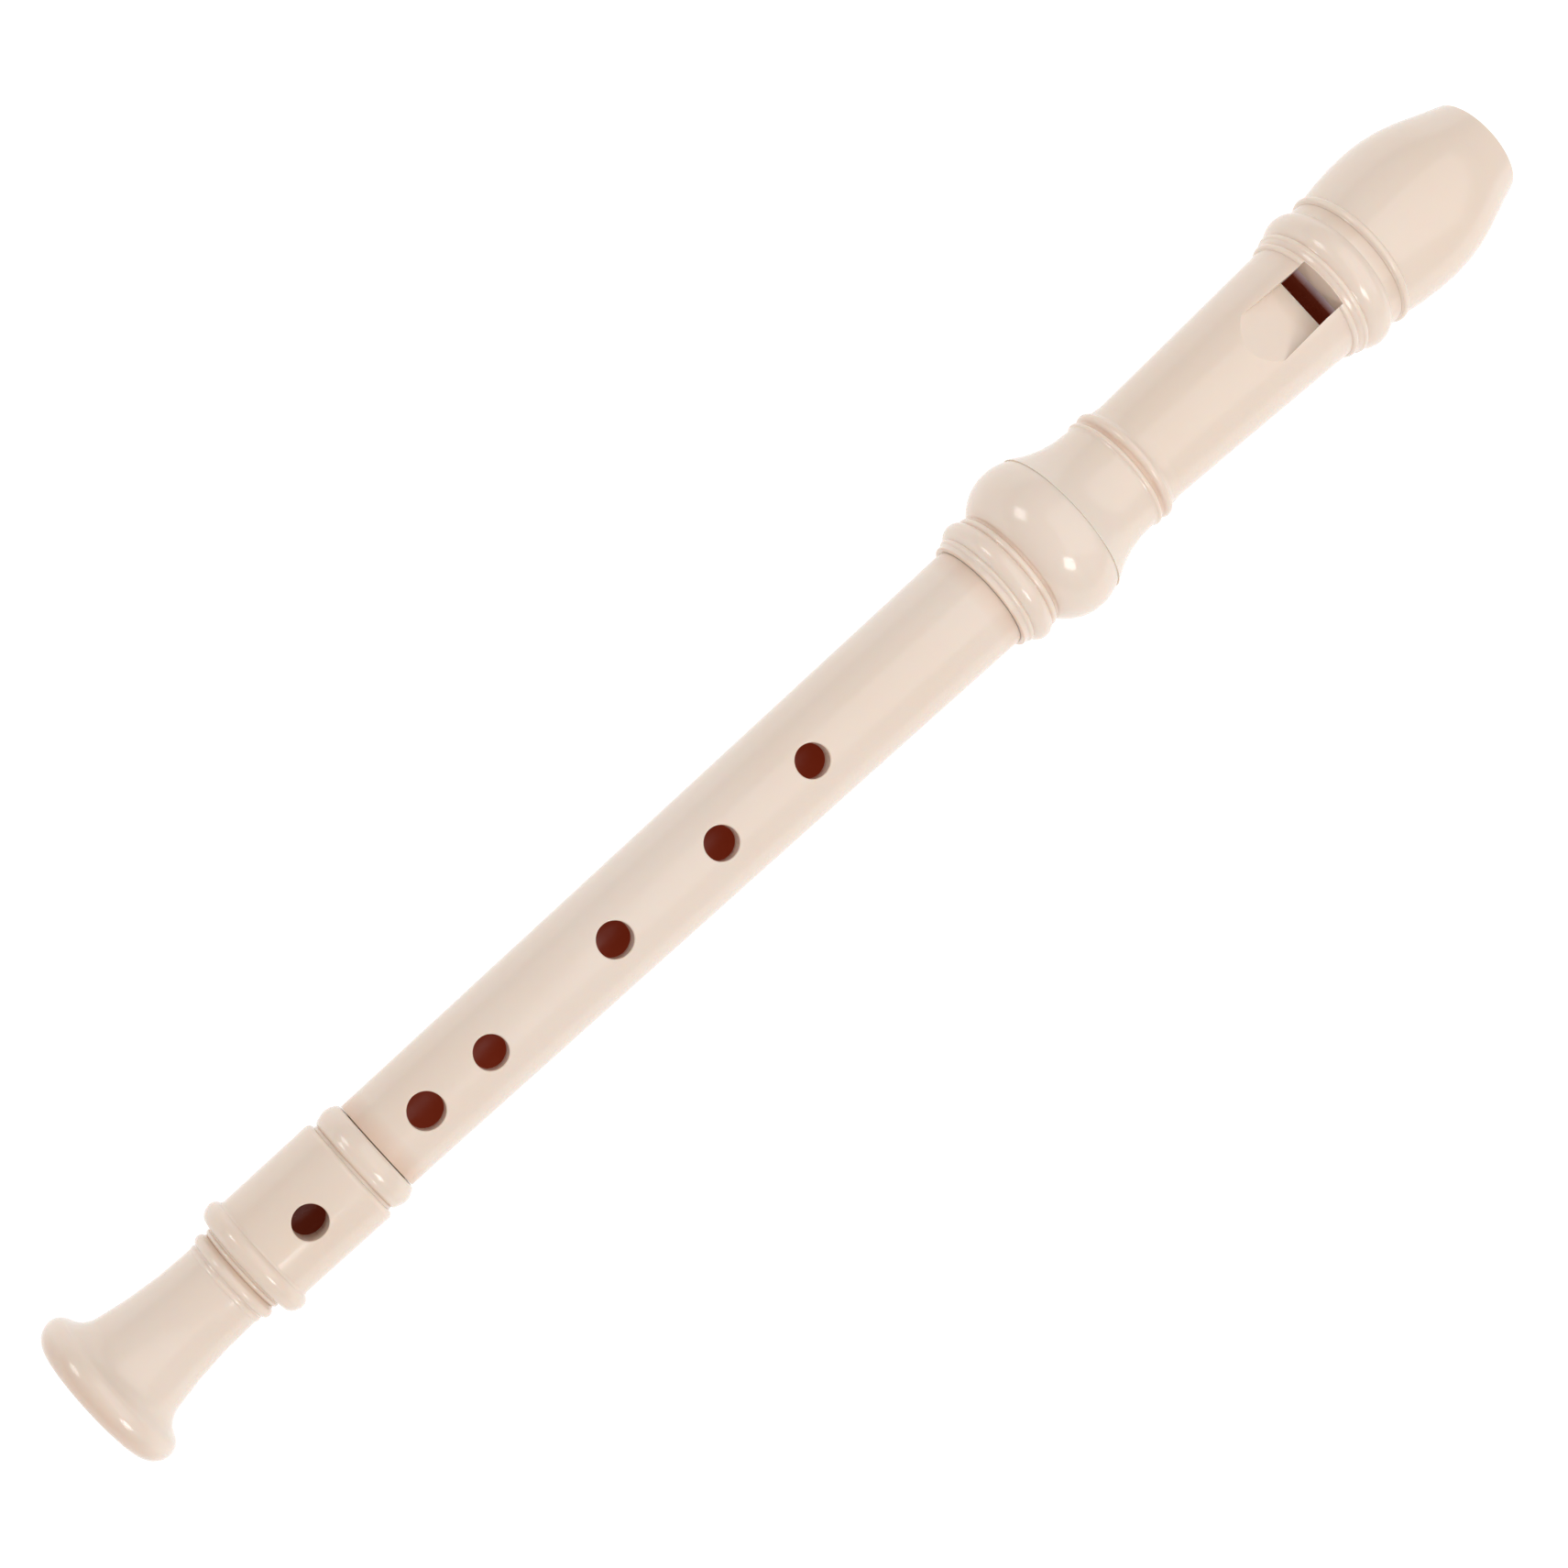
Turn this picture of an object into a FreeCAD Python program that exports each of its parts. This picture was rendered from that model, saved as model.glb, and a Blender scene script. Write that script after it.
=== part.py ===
"""Soprano recorder, three joints, six finger holes.

The bore lies along X. Stations are measured from the end of the foot towards the beak,
and heights from the axis of the bore. Every body is drawn in those stations and then
placed so that the recorder lies on the floor, with the origin under its middle.
"""
import FreeCAD, Part
import math
import os
import Sketcher

V = FreeCAD.Vector

doc = FreeCAD.newDocument("SopranoRecorder")
sheet = doc.addObject("Spreadsheet::Sheet", "Dims")
SIZES = {}


def cell(alias, value, note=""):
    """Put one driving dimension in the sheet under its own name."""
    row = len(SIZES) + 1
    sheet.set(f"A{row}", note or alias.replace("_", " "))
    sheet.set(f"B{row}", str(value))
    sheet.setAlias(f"B{row}", alias)
    SIZES[alias] = float(value)
    return alias


# --- whole instrument -------------------------------------------------------------------
cell("total_length", 325.5, "foot end to beak tip")
cell("axis_height", 15.4, "bore axis above the floor")
cell("head_turn", -10.1, "how far the head is turned on its tenon")
cell("foot_turn", 2.8, "how far the foot is turned on its tenon")

# --- bore and sockets -------------------------------------------------------------------
cell("head_bore_r", 6.6, "head bore radius")
cell("middle_bore_top_r", 6.2, "middle bore radius at the head end")
cell("middle_bore_low_r", 4.9, "middle bore radius at the foot end")
cell("foot_bore_r", 4.75, "foot bore radius")
cell("upper_socket_r", 8.8, "head socket radius")
cell("upper_tenon_r", 8.55, "upper tenon radius")
cell("upper_groove_r", 7.5, "seal groove floor on the upper tenon")
cell("lower_socket_r", 7.3, "foot socket radius")
cell("lower_tenon_r", 7.05, "lower tenon radius")
cell("lower_groove_r", 6.1, "seal groove floor on the lower tenon")
cell("seal_slide", 0.03, "clearance of a seal in its socket")
cell("seal_turn", 0.03, "clearance of a seal on its groove floor")
cell("seal_edge", 0.45, "rounding of a seal's outer edges")
cell("glue_gap", 0.05, "glue line between pieces joined for good")

# --- joint stations ---------------------------------------------------------------------
cell("upper_joint_x", 202.1, "open end of the head socket")
cell("upper_shoulder_x", 201.9, "shoulder of the upper tenon")
cell("upper_tenon_end_x", 222.4, "end of the upper tenon")
cell("upper_socket_end_x", 223.4, "bottom of the head socket")
cell("lower_joint_x", 61.8, "open end of the foot socket")
cell("lower_shoulder_x", 62.2, "shoulder of the lower tenon")
cell("lower_tenon_end_x", 50.4, "end of the lower tenon")
cell("lower_socket_end_x", 49.6, "bottom of the foot socket")
cell("upper_seal_x", 212.0, "middle of the upper seal")
cell("lower_seal_x", 56.0, "middle of the lower seal")
cell("seal_width", 3.0, "width of a seal")
cell("groove_side_gap", 0.1, "room beside a seal in its groove")

# --- windway, window and labium ---------------------------------------------------------
cell("windway_width", 10.0, "width of the windway and the window")
cell("windway_floor", 6.0, "height of the windway floor")
cell("windway_roof", 7.0, "height of the windway roof")
cell("window_x", 282.7, "where the windway opens into the window")
cell("labium_x", 278.8, "sharp edge of the labium")
cell("labium_height", 6.5, "height of the labium edge")
cell("undercut_x", 270.5, "end of the hollow under the labium")
cell("ramp_end_x", 264.0, "station where the ramp has left the tube")
cell("ramp_end_height", 11.5, "height of the ramp there")
cell("ramp_end_width", 11.4, "width of the ramp there")
cell("cut_top", 16.0, "height that every cut from above reaches")
cell("block_r", 6.55, "block radius")
cell("block_side_gap", 0.05, "room at each side of the block's key")
cell("beak_seam_x", 293.0, "seam between beak and head tube")
cell("bevel_start_x", 296.5, "where the bevel leaves the beak's underside")
cell("bevel_start_height", -16.0, "height of the bevel there")
cell("bevel_tip_height", 3.2, "underside of the beak tip")
cell("bevel_round", 55.0, "radius of the hollow bevel")
cell("bevel_past_tip_x", 328.0, "where the bevel cut ends, past the tip")
cell("bevel_past_tip_height", 4.0, "height of the bevel cut there")

# --- tone holes -------------------------------------------------------------------------
TONE_HOLES = [(159.1, 3.1), (138.2, 3.1), (114.0, 3.25), (86.2, 3.05), (71.9, 3.3)]
for number, (station, radius) in enumerate(TONE_HOLES, start=1):
    cell(f"hole{number}_x", station, f"station of hole {number}")
    cell(f"hole{number}_r", radius, f"radius of hole {number}")
cell("foot_hole_x", 45.9, "station of the foot hole")
cell("foot_hole_r", 3.1, "radius of the foot hole")
cell("hole_edge_round", 0.35, "rounding of the tone holes' outer edges")


def value(size):
    """A size is the name of a cell or a number."""
    return SIZES[size] if isinstance(size, str) else float(size)


def new_body(name, turn=None):
    """A body in the recorder's own place, turned about the bore if its joint is."""
    body = doc.addObject("PartDesign::Body", name)
    body.Label = name
    angle = SIZES[turn] if turn else 0.0
    body.Placement = FreeCAD.Placement(
        V(-SIZES["total_length"] / 2, 0, SIZES["axis_height"]),
        FreeCAD.Rotation(V(1, 0, 0), angle),
    )
    body.setExpression("Placement.Base.x", "-Dims.total_length / 2")
    body.setExpression("Placement.Base.z", "Dims.axis_height")
    if turn:
        body.setExpression("Placement.Rotation.Angle", f"Dims.{turn}")
    return body


def new_sketch(body, name, plane):
    """A sketch on one of the body's own origin planes."""
    sketch = body.newObject("Sketcher::SketchObject", name)
    features = body.Origin.OriginFeatures
    sketch.AttachmentSupport = [(next(f for f in features if f.Role == plane), "")]
    sketch.MapMode = "FlatFace"
    return sketch


def bind(sketch, constraint, alias):
    """Add a constraint and drive it from the sheet."""
    index = sketch.addConstraint(constraint)
    if isinstance(alias, str):
        sketch.setExpression(f"Constraints[{index}]", f"Dims.{alias}")


def pin(sketch, geometry, point, x, y):
    """Hold a point of the sketch at a station and a height."""
    if abs(value(x)) < 1e-9:
        sketch.addConstraint(Sketcher.Constraint("PointOnObject", geometry, point, -2))
    else:
        bind(sketch, Sketcher.Constraint("DistanceX", -1, 1, geometry, point, value(x)), x)
    if abs(value(y)) < 1e-9:
        sketch.addConstraint(Sketcher.Constraint("PointOnObject", geometry, point, -1))
    else:
        bind(sketch, Sketcher.Constraint("DistanceY", -1, 1, geometry, point, value(y)), y)


def arc_between(start, end, radius):
    """Short arc from start to end: a positive radius bulges upwards, away from the bore."""
    chord = end - start
    half = chord.Length / 2
    side = V(-chord.y, chord.x, 0).normalize()
    if side.y < 0:
        side = side * -1
    sign = 1 if radius > 0 else -1
    size = abs(radius)
    centre = start + chord * 0.5 - side * (sign * math.sqrt(size * size - half * half))
    crown = centre + side * (sign * size)
    return Part.Arc(start, crown, end)


def outline(sketch, corners):
    """Closed outline from (x, height, round) corners, round being the arc to the next."""
    count = len(corners)
    places = [V(value(x), value(y), 0) for x, y, _ in corners]
    ends = []
    for index, (x, y, radius) in enumerate(corners):
        start = places[index]
        end = places[(index + 1) % count]
        if radius:
            arc = arc_between(start, end, value(radius))
            geometry = sketch.addGeometry(arc, False)
            forward = sketch.getPoint(geometry, 1).distanceToPoint(start) < 1e-6
            ends.append((geometry, 1 if forward else 2, 2 if forward else 1))
        else:
            geometry = sketch.addGeometry(Part.LineSegment(start, end), False)
            ends.append((geometry, 1, 2))
    for index, (x, y, radius) in enumerate(corners):
        geometry, first, last = ends[index]
        following, next_first, _ = ends[(index + 1) % count]
        sketch.addConstraint(
            Sketcher.Constraint("Coincident", geometry, last, following, next_first)
        )
        pin(sketch, geometry, first, x, y)
        if radius:
            size = abs(value(radius))
            sketch.addConstraint(Sketcher.Constraint("Radius", geometry, size))


def landmarks(prefix, points):
    """Give each landmark of a turned profile its own cells in the sheet."""
    named = []
    for name, x, radius, round_ in points:
        if not isinstance(x, str):
            x = cell(f"{prefix}_{name}_x", x, f"{prefix} {name} station")
        if not isinstance(radius, str):
            radius = cell(f"{prefix}_{name}_rad", radius, f"{prefix} {name} radius")
        named.append((x, radius, round_))
    return named


def turned(body, prefix, points):
    """Turn a profile about the bore's axis."""
    sketch = new_sketch(body, f"{prefix}_profile", "XZ_Plane")
    outline(sketch, landmarks(prefix, points))
    revolve = body.newObject("PartDesign::Revolution", f"{prefix}_turning")
    revolve.Profile = sketch
    revolve.ReferenceAxis = (sketch, ["H_Axis"])
    revolve.Angle = 360
    doc.recompute()
    return revolve


def side_cut(body, name, corners, width):
    """Cut a side-view outline right through, or to a width shared by both sides."""
    sketch = new_sketch(body, f"{name}_outline", "XZ_Plane")
    outline(sketch, corners)
    pocket = body.newObject("PartDesign::Pocket", name)
    pocket.Profile = sketch
    pocket.Midplane = True
    pocket.Length = value(width)
    if isinstance(width, str):
        pocket.setExpression("Length", f"Dims.{width}")
    return checked_cut(body, pocket)


def checked_cut(body, feature):
    """A cut has to take something away."""
    before = feature.BaseFeature.Shape.Volume
    doc.recompute()
    if not feature.Shape.Volume < before - 0.01:
        raise RuntimeError(f"{feature.Name} cuts nothing")
    body.Tip = feature
    return feature


def on_hole(edge, x, radius):
    """Whether the whole edge runs round the hole at this station."""
    return all(abs(math.hypot(p.x - x, p.y) - radius) < 0.01 for p in edge.discretize(9))


def tone_holes(body, name, holes):
    """Drill holes from the bore out through the front of the tube, and round their edges."""
    sketch = new_sketch(body, f"{name}_centres", "XY_Plane")
    for x, radius in holes:
        circle = Part.Circle(V(value(x), 0, 0), V(0, 0, 1), value(radius))
        geometry = sketch.addGeometry(circle, False)
        bind(sketch, Sketcher.Constraint("DistanceX", -1, 1, geometry, 3, value(x)), x)
        sketch.addConstraint(Sketcher.Constraint("PointOnObject", geometry, 3, -1))
        bind(sketch, Sketcher.Constraint("Radius", geometry, value(radius)), radius)
    pocket = body.newObject("PartDesign::Pocket", name)
    pocket.Profile = sketch
    pocket.Reversed = True
    pocket.Length = SIZES["cut_top"]
    pocket.setExpression("Length", "Dims.cut_top")
    checked_cut(body, pocket)
    rims = []
    for index, edge in enumerate(pocket.Shape.Edges, start=1):
        outside = edge.BoundBox.ZMin > SIZES["lower_tenon_r"]
        if outside and any(on_hole(edge, value(x), value(radius)) for x, radius in holes):
            rims.append(f"Edge{index}")
    if len(rims) < len(holes):
        raise RuntimeError(f"{name}: a hole's outer edge is missing")
    fillet = body.newObject("PartDesign::Fillet", f"{name}_edges")
    fillet.Base = (pocket, rims)
    fillet.Radius = SIZES["hole_edge_round"]
    fillet.setExpression("Radius", "Dims.hole_edge_round")
    doc.recompute()
    body.Tip = fillet


# --- beak: the mouthpiece shell, with the windway's roof ---------------------------------
beak = new_body("beak", "head_turn")
turned(beak, "beak", [
    ("tip_bore", "total_length", "head_bore_r", 0),
    ("tip_face", "total_length", 9.3, 0.9),
    ("tip_edge", 324.6, 10.2, 0),
    ("swell_start", 316.6, 13.0, 33.0),
    ("crest", 306.2, 14.8, 58.0),
    ("waist", 294.75, 13.66, 0),
    ("ridge_top", 294.6, 13.75, 0.72),
    ("ridge_low", 293.3, 13.55, 0),
    ("seam", "beak_seam_x", 13.4, 0),
    ("seam_bore", "beak_seam_x", "head_bore_r", 0),
])
BLOCK_SLOT = [
    ("beak_seam_x", 0, 0),
    ("bevel_past_tip_x", 0, 0),
    ("bevel_past_tip_x", "windway_roof", 0),
    ("beak_seam_x", "windway_roof", 0),
]
side_cut(beak, "beak_windway", BLOCK_SLOT, "windway_width")
BEVEL = [
    ("bevel_start_x", "bevel_start_height", "bevel_round"),
    ("total_length", "bevel_tip_height", 0),
    ("bevel_past_tip_x", "bevel_past_tip_height", 0),
    ("bevel_past_tip_x", "bevel_start_height", 0),
]
side_cut(beak, "beak_bevel", BEVEL, 40.0)

# --- block: the plug that fills the bore up to the window --------------------------------
block = new_body("block", "head_turn")
block_sketch = new_sketch(block, "block_section", "YZ_Plane")
key_half = SIZES["windway_width"] / 2 - SIZES["block_side_gap"]
key_foot = math.sqrt(SIZES["block_r"] ** 2 - key_half ** 2)
floor = SIZES["windway_floor"]
arc = block_sketch.addGeometry(
    Part.Arc(V(key_half, key_foot, 0), V(0, -SIZES["block_r"], 0), V(-key_half, key_foot, 0)),
    False,
)
side_left = block_sketch.addGeometry(
    Part.LineSegment(V(-key_half, key_foot, 0), V(-key_half, floor, 0)), False
)
top = block_sketch.addGeometry(
    Part.LineSegment(V(-key_half, floor, 0), V(key_half, floor, 0)), False
)
side_right = block_sketch.addGeometry(
    Part.LineSegment(V(key_half, floor, 0), V(key_half, key_foot, 0)), False
)
arc_on_left = block_sketch.getPoint(arc, 1).x < 0
block_sketch.addConstraint([
    Sketcher.Constraint("Coincident", arc, 3, -1, 1),
    Sketcher.Constraint("Coincident", arc, 1 if arc_on_left else 2, side_left, 1),
    Sketcher.Constraint("Coincident", side_left, 2, top, 1),
    Sketcher.Constraint("Coincident", top, 2, side_right, 1),
    Sketcher.Constraint("Coincident", side_right, 2, arc, 2 if arc_on_left else 1),
    Sketcher.Constraint("Vertical", side_left),
    Sketcher.Constraint("Vertical", side_right),
    Sketcher.Constraint("Symmetric", side_left, 2, side_right, 1, -2),
])
bind(block_sketch, Sketcher.Constraint("Radius", arc, SIZES["block_r"]), "block_r")
bind(block_sketch, Sketcher.Constraint("DistanceY", -1, 1, top, 1, floor), "windway_floor")
width_index = block_sketch.addConstraint(
    Sketcher.Constraint("DistanceX", top, 1, top, 2, 2 * key_half)
)
block_sketch.setExpression(
    f"Constraints[{width_index}]", "Dims.windway_width - 2 * Dims.block_side_gap"
)
block_sketch.AttachmentOffset = FreeCAD.Placement(V(0, 0, SIZES["window_x"]), FreeCAD.Rotation())
block_sketch.setExpression("AttachmentOffset.Base.z", "Dims.window_x")
block_pad = block.newObject("PartDesign::Pad", "block_length")
block_pad.Profile = block_sketch
block_pad.Length = SIZES["total_length"] - SIZES["window_x"]
block_pad.setExpression("Length", "Dims.total_length - Dims.window_x")
doc.recompute()
side_cut(block, "block_bevel", BEVEL, 40.0)

# --- head tube: rings, window, labium ramp and the socket's inner wall --------------------
head_tube = new_body("head_tube", "head_turn")
turned(head_tube, "head", [
    ("seam", "beak_seam_x", 13.4, 0),
    ("band", 290.6, 13.35, 0),
    ("bead_top", 290.5, 13.45, 3.6),
    ("bead_low", 285.35, 13.35, 0),
    ("crease", 285.0, 13.1, 0.62),
    ("collar", 283.9, 13.0, 0),
    ("collar_low", 283.05, 12.55, 0.62),
    ("tube_top", 281.95, 12.1, 0),
    ("tube_low", 240.9, 10.45, 0),
    ("step_one", 240.2, 10.6, 0),
    ("step_two", 238.8, 10.72, 0),
    ("step_three", 238.2, 11.15, 0),
    ("bead_start", 237.95, 11.3, 0.85),
    ("groove_top", 236.6, 11.35, 0),
    ("groove_one", 236.3, 10.95, 0),
    ("groove_two", 235.6, 10.95, 0),
    ("ring_top", 235.35, 11.35, 0.5),
    ("ring_low", 234.5, 11.3, 0),
    ("flare_start", 234.0, 11.1, -21.5),
    ("flare_lip", 221.85, 14.7, 0.35),
    ("lip_low", 221.5, 14.35, 0),
    ("lip_root", 221.5, 10.0, 0),
    ("socket_outer", "upper_joint_x", 10.0, 0),
    ("socket_mouth", "upper_joint_x", "upper_socket_r", 0),
    ("socket_bottom", "upper_socket_end_x", "upper_socket_r", 0),
    ("bore_low", "upper_socket_end_x", "head_bore_r", 0),
    ("bore_top", "beak_seam_x", "head_bore_r", 0),
])
side_cut(head_tube, "head_windway", [
    ("window_x", 0, 0),
    ("bevel_past_tip_x", 0, 0),
    ("bevel_past_tip_x", "windway_roof", 0),
    ("window_x", "windway_roof", 0),
], "windway_width")
side_cut(head_tube, "window", [
    ("undercut_x", 0, 0),
    ("window_x", 0, 0),
    ("window_x", "cut_top", 0),
    ("labium_x", "cut_top", 0),
    ("labium_x", "labium_height", 0),
    ("undercut_x", "labium_height", 0),
], "windway_width")
ramp = head_tube.newObject("PartDesign::SubtractiveWedge", "labium_ramp")
ramp.Placement = FreeCAD.Placement(
    V(SIZES["labium_x"], 0, 0), FreeCAD.Rotation(V(0, 0, 1), 90)
)
ramp.setExpression("Placement.Base.x", "Dims.labium_x")
RAMP = {
    "Ymin": "0 mm",
    "Ymax": "Dims.labium_x - Dims.ramp_end_x",
    "Xmin": "-Dims.windway_width / 2",
    "Xmax": "Dims.windway_width / 2",
    "Zmin": "Dims.labium_height",
    "Zmax": "Dims.cut_top",
    "X2min": "-Dims.ramp_end_width / 2",
    "X2max": "Dims.ramp_end_width / 2",
    "Z2min": "Dims.ramp_end_height",
    "Z2max": "Dims.cut_top",
}
for side, formula in RAMP.items():
    ramp.setExpression(side, formula)
checked_cut(head_tube, ramp)

# --- socket sleeve: the ball over the head's socket ---------------------------------------
cell("sleeve_bore_r", 10.0 + SIZES["glue_gap"], "sleeve's inner radius")
socket_sleeve = new_body("socket_sleeve", "head_turn")
turned(socket_sleeve, "sleeve", [
    ("ball_top", 221.5, 14.45, 9.25),
    ("ball_low", 210.1, 11.9, 0),
    ("neck", 209.9, 11.45, 0),
    ("neck_ring", 209.35, 11.45, 0.75),
    ("neck_low", 208.0, 11.75, 0),
    ("bead_top", 207.9, 11.95, 2.1),
    ("bead_low", 204.35, 11.75, 0),
    ("groove", 204.15, 11.4, 0.5),
    ("lip_top", 203.35, 11.35, 0),
    ("lip_crest", 203.2, 11.1, 0),
    ("mouth_edge", 202.4, 11.1, 0.3),
    ("mouth", "upper_joint_x", 10.8, 0),
    ("mouth_bore", "upper_joint_x", "sleeve_bore_r", 0),
    ("top_bore", 221.5, "sleeve_bore_r", 0),
])

# --- middle joint: the tube with five holes and a tenon at each end -----------------------
middle_joint = new_body("middle_joint")
for end in ("upper", "lower"):
    reach = SIZES["seal_width"] / 2 + SIZES["groove_side_gap"]
    cell(f"{end}_groove_high_x", SIZES[f"{end}_seal_x"] + reach, f"{end} groove, head side")
    cell(f"{end}_groove_low_x", SIZES[f"{end}_seal_x"] - reach, f"{end} groove, foot side")
turned(middle_joint, "middle", [
    ("top_bore", "upper_tenon_end_x", "middle_bore_top_r", 0),
    ("top_face", "upper_tenon_end_x", 8.05, 0),
    ("top_edge", 221.9, "upper_tenon_r", 0),
    ("groove_a", "upper_groove_high_x", "upper_tenon_r", 0),
    ("groove_b", "upper_groove_high_x", "upper_groove_r", 0),
    ("groove_c", "upper_groove_low_x", "upper_groove_r", 0),
    ("groove_d", "upper_groove_low_x", "upper_tenon_r", 0),
    ("tenon_root", "upper_shoulder_x", "upper_tenon_r", 0),
    ("shoulder", "upper_shoulder_x", 10.05, 0.2),
    ("tube_top", 201.7, 10.25, 0),
    ("tube_low", 62.4, 8.85, 0.2),
    ("low_shoulder", "lower_shoulder_x", 8.65, 0),
    ("low_root", "lower_shoulder_x", "lower_tenon_r", 0),
    ("groove_e", "lower_groove_high_x", "lower_tenon_r", 0),
    ("groove_f", "lower_groove_high_x", "lower_groove_r", 0),
    ("groove_g", "lower_groove_low_x", "lower_groove_r", 0),
    ("groove_i", "lower_groove_low_x", "lower_tenon_r", 0),
    ("low_edge", 50.8, "lower_tenon_r", 0),
    ("low_face", "lower_tenon_end_x", 6.65, 0),
    ("low_bore", "lower_tenon_end_x", "middle_bore_low_r", 0),
])
tone_holes(middle_joint, "finger_holes",
           [(f"hole{n}_x", f"hole{n}_r") for n in range(1, len(TONE_HOLES) + 1)])

# --- seals: a soft ring on each tenon -----------------------------------------------------
for end in ("upper", "lower"):
    seal = new_body(f"{end}_tenon_seal")
    middle = SIZES[f"{end}_seal_x"]
    half = SIZES["seal_width"] / 2
    outer = SIZES[f"{end}_socket_r"] - SIZES["seal_slide"]
    inner = SIZES[f"{end}_groove_r"] + SIZES["seal_turn"]
    edge = SIZES["seal_edge"]
    turned(seal, f"{end}_seal", [
        ("foot_in", middle - half, inner, 0),
        ("foot_out", middle - half, outer - edge, edge),
        ("foot_top", middle - half + edge, outer, 0),
        ("head_top", middle + half - edge, outer, edge),
        ("head_out", middle + half, outer - edge, 0),
        ("head_in", middle + half, inner, 0),
    ])

# --- foot: ring, barrel and bell ----------------------------------------------------------
cell("ring_spigot_r", 8.3, "barrel's spigot inside the ring")
cell("ring_bore_r", 8.3 + SIZES["glue_gap"], "ring's inner radius")
cell("bell_spigot_r", 6.4, "barrel's spigot inside the bell")
cell("bell_counterbore_r", 6.4 + SIZES["glue_gap"], "bell's counterbore")
cell("ring_seam_x", 56.9, "seam between ring and barrel")
cell("bell_seam_x", 31.7, "seam between barrel and bell")

foot_ring = new_body("foot_ring", "foot_turn")
turned(foot_ring, "ring", [
    ("mouth_bore", "lower_joint_x", "ring_bore_r", 0),
    ("mouth", "lower_joint_x", 8.75, 1.1),
    ("shoulder", 61.0, 9.75, 3.0),
    ("flank", 58.0, 9.9, 1.4),
    ("seam", "ring_seam_x", 9.2, 0),
    ("seam_bore", "ring_seam_x", "ring_bore_r", 0),
])

foot_barrel = new_body("foot_barrel", "foot_turn")
turned(foot_barrel, "barrel", [
    ("socket_mouth", "lower_joint_x", "lower_socket_r", 0),
    ("spigot_face", "lower_joint_x", "ring_spigot_r", 0),
    ("spigot_root", "ring_seam_x", "ring_spigot_r", 0),
    ("seam", "ring_seam_x", 9.2, 0),
    ("shoulder_low", 56.35, 9.3, 0.95),
    ("shoulder", 55.4, 10.35, 0),
    ("tube_low", 37.3, 10.2, 0),
    ("bead_top", 36.8, 10.45, 1.6),
    ("bead_crown", 34.55, 11.35, 1.8),
    ("bead_low", 33.0, 9.6, 0),
    ("neck_top", 32.75, 8.55, 0),
    ("neck_ring", 32.6, 8.4, 0.4),
    ("neck_low", 31.95, 8.35, 0),
    ("bell_seam", "bell_seam_x", 8.05, 0),
    ("bell_spigot_root", "bell_seam_x", "bell_spigot_r", 0),
    ("bell_spigot_end", 23.7, "bell_spigot_r", 0),
    ("bore_low", 23.7, "foot_bore_r", 0),
    ("bore_top", "lower_socket_end_x", "foot_bore_r", 0),
    ("socket_bottom", "lower_socket_end_x", "lower_socket_r", 0),
])
tone_holes(foot_barrel, "foot_hole", [("foot_hole_x", "foot_hole_r")])

foot_bell = new_body("foot_bell", "foot_turn")
turned(foot_bell, "bell", [
    ("seam_bore", "bell_seam_x", "bell_counterbore_r", 0),
    ("seam", "bell_seam_x", 8.05, 0),
    ("ring_top", 31.3, 8.35, 1.05),
    ("ring_low", 29.35, 8.2, 0),
    ("ridge_top", 29.0, 8.15, 0.8),
    ("ridge_low", 28.1, 8.1, 0),
    ("flare_start", 27.0, 8.1, -81.0),
    ("flare_turn", 9.5, 10.0, -5.0),
    ("rim_back", 5.9, 13.17, 2.58),
    ("rim_crest", 3.47, 14.87, 3.6),
    ("rim_face", 0, 11.4, 0),
    ("mouth_edge", 0, 5.25, 0),
    ("bore_edge", 0.5, "foot_bore_r", 0),
    ("bore_top", 23.7, "foot_bore_r", 0),
    ("counterbore", 23.7, "bell_counterbore_r", 0),
])

# --- check and write ----------------------------------------------------------------------
doc.recompute()
for item in doc.Objects:
    if "Invalid" in item.State or "Error" in item.State:
        raise RuntimeError(f"{item.Name} failed: {item.State}")
bodies = [item for item in doc.Objects if item.TypeId == "PartDesign::Body"]
os.makedirs("parts", exist_ok=True)
for body in bodies:
    if body.Shape.isNull() or not body.Shape.isValid() or len(body.Shape.Solids) != 1:
        raise RuntimeError(f"{body.Label} is not one valid solid")
for body in bodies:
    body.Shape.exportStep(f"parts/{body.Label}.step")
    print(body.Label, round(body.Shape.Volume), body.Shape.BoundBox)
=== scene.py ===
"""Soprano recorder in three joints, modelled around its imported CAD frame.

Lengths in the outlines are millimetres: stations run from the end of the foot towards
the beak, radii from the axis of the bore. Everything in the scene is in metres.
"""

import math

import bpy
from mathutils import Matrix, Vector


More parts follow.
